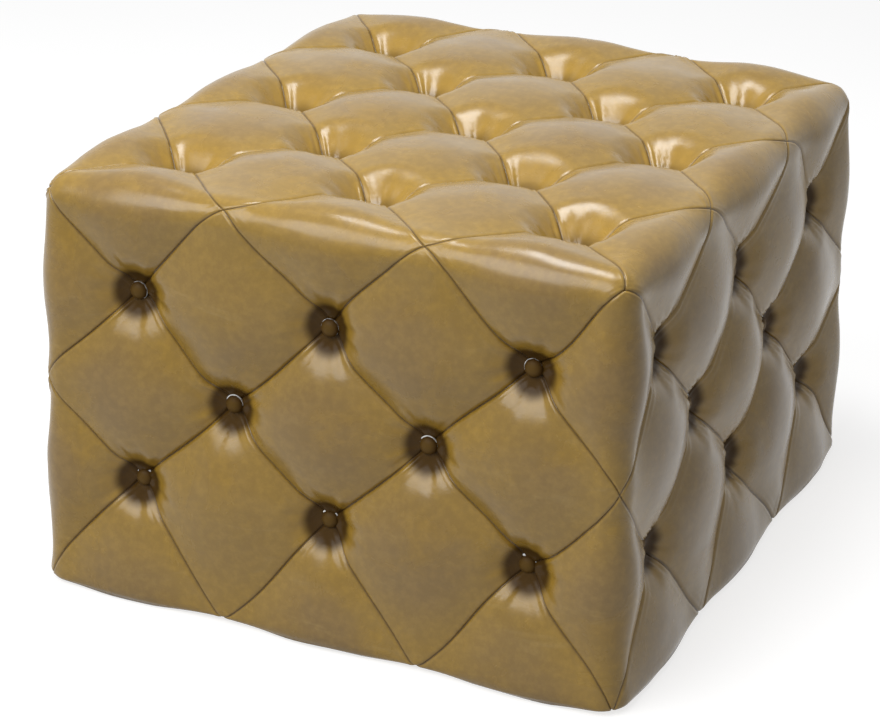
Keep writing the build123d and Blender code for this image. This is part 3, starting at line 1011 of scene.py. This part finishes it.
def white_floor():
    """A matt floor that keeps the stool's shadow, and glows to the camera and in what shines."""
    material, shader = new_material("white_floor")
    tone = noise_texture(material, object_coordinates(material), scale=3, detail=2)
    low_tone, high_tone = floor_tones
    colour = ramp(material, tone, ((0.0, (low_tone,) * 3), (1.0, (high_tone,) * 3)))
    join(material, colour, shader.inputs["Base Color"])
    shader.inputs["Roughness"].default_value = 0.9
    shader.inputs["Specular IOR Level"].default_value = 0.0
    path = add_node(material, "ShaderNodeLightPath").outputs
    seen = arithmetic(material, "MAXIMUM", path["Is Camera Ray"], path["Is Glossy Ray"])
    nothing = add_node(material, "ShaderNodeEmission")
    nothing.inputs["Strength"].default_value = 0
    glow = add_node(material, "ShaderNodeEmission")
    glow.inputs["Strength"].default_value = floor_glow
    choose = add_node(material, "ShaderNodeMixShader")
    both = add_node(material, "ShaderNodeAddShader")
    output = next(n for n in material.node_tree.nodes if n.type == "OUTPUT_MATERIAL")
    join(material, seen, choose.inputs[0])
    join(material, nothing.outputs[0], choose.inputs[1])
    join(material, glow.outputs[0], choose.inputs[2])
    join(material, shader.outputs[0], both.inputs[0])
    join(material, choose.outputs[0], both.inputs[1])
    join(material, both.outputs[0], output.inputs["Surface"])
    return material


def lay_floor(material):
    """The plain floor that the stool stands on."""
    bm = bmesh.new()
    bmesh.ops.create_grid(bm, x_segments=1, y_segments=1, size=floor_size)
    floor = meshed(bm, "floor", material)


def soft_lamp(name, place, target, size, power):
    """A softbox at a place, turned to a target."""
    data = bpy.data.lights.new(name, "AREA")
    data.shape = "RECTANGLE"
    data.size, data.size_y = size
    data.energy = power
    lamp = bpy.data.objects.new(name, data)
    bpy.context.scene.collection.objects.link(lamp)
    lamp.location = place
    lamp.rotation_euler = (Vector(target) - Vector(place)).to_track_quat("-Z", "Y").to_euler()


def white_surroundings():
    """White to the camera and in what shines or is clear, and dimmer as light on the stool."""
    world = bpy.data.worlds.new("white_surroundings")
    world.use_nodes = True
    background = next(n for n in world.node_tree.nodes if n.type == "BACKGROUND")
    background.inputs["Color"].default_value = (1, 1, 1, 1)
    path = add_node(world, "ShaderNodeLightPath").outputs
    seen = arithmetic(world, "MAXIMUM", path["Is Camera Ray"], path["Is Transmission Ray"])
    seen = arithmetic(world, "MAXIMUM", seen, path["Is Glossy Ray"])
    level = add_node(world, "ShaderNodeMapRange")
    level.inputs["To Min"].default_value = surroundings_level
    level.inputs["To Max"].default_value = 1
    join(world, seen, level.inputs["Value"])
    join(world, level.outputs["Result"], background.inputs["Strength"])
    bpy.context.scene.world = world


def place_camera():
    """The photograph's view: turned to the right and looking down a little."""
    azimuth = math.radians(camera_azimuth)
    elevation = math.radians(camera_elevation)
    roll = math.radians(camera_roll)
    back = Vector((
        math.sin(azimuth) * math.cos(elevation),
        -math.cos(azimuth) * math.cos(elevation),
        math.sin(elevation),
    ))
    right = Vector((0, 0, 1)).cross(back).normalized()
    up = back.cross(right)
    turned_right = right * math.cos(roll) + up * math.sin(roll)
    turned_up = up * math.cos(roll) - right * math.sin(roll)
    data = bpy.data.cameras.new("camera")
    data.lens = camera_lens
    data.sensor_width = camera_sensor
    camera = bpy.data.objects.new("camera", data)
    bpy.context.scene.collection.objects.link(camera)
    turn = Matrix((turned_right, turned_up, back)).transposed().to_4x4()
    camera.matrix_world = Matrix.Translation(Vector(camera_place)) @ turn
    bpy.context.scene.camera = camera


hide = patinated_leather("olive_tan_leather")
# The buttons' leather is laid dark all over, as painted shade
shaded_button_hide = patinated_leather("shaded_button_leather", darker=0.80, shine=0.15, roughness=(0.46, 0.58))
foam = open_foam()
faces = {
    "top": Vector((0, 0, 1)),
    "front": Vector((0, -1, 0)),
    "back": Vector((0, 1, 0)),
    "left": Vector((-1, 0, 0)),
    "right": Vector((1, 0, 0)),
}
leather_cover(hide)
wadding_layer(fibre_wadding())
for side in faces:
    foam_pad("foam_pad_" + side, "foam_" + side, foam)
for side, direction in faces.items():
    covered_buttons(side, direction, shaded_button_hide)
dust_cover(spunbond_lining())

softwood = sawn_softwood()
steel = plated_steel()
plywood = birch_plywood()
dress_frame((
    ("bottom_rail", softwood),
    ("top_rail", softwood),
    ("corner_post", softwood),
    ("deck_brace", softwood),
    ("top_deck", plywood),
    ("side_board", plywood),
    ("twine_ties", waxed_twine()),
    ("glide_nails", steel),
    ("glide", moulded_glide()),
    ("", steel),
))

lay_floor(white_floor())
white_surroundings()
soft_lamp("overhead_softbox", overhead_place, overhead_target, overhead_size, overhead_power)
soft_lamp("front_softbox", front_place, front_target, front_size, front_power)
place_camera()

scene = bpy.context.scene
scene.view_settings.view_transform = "Standard"
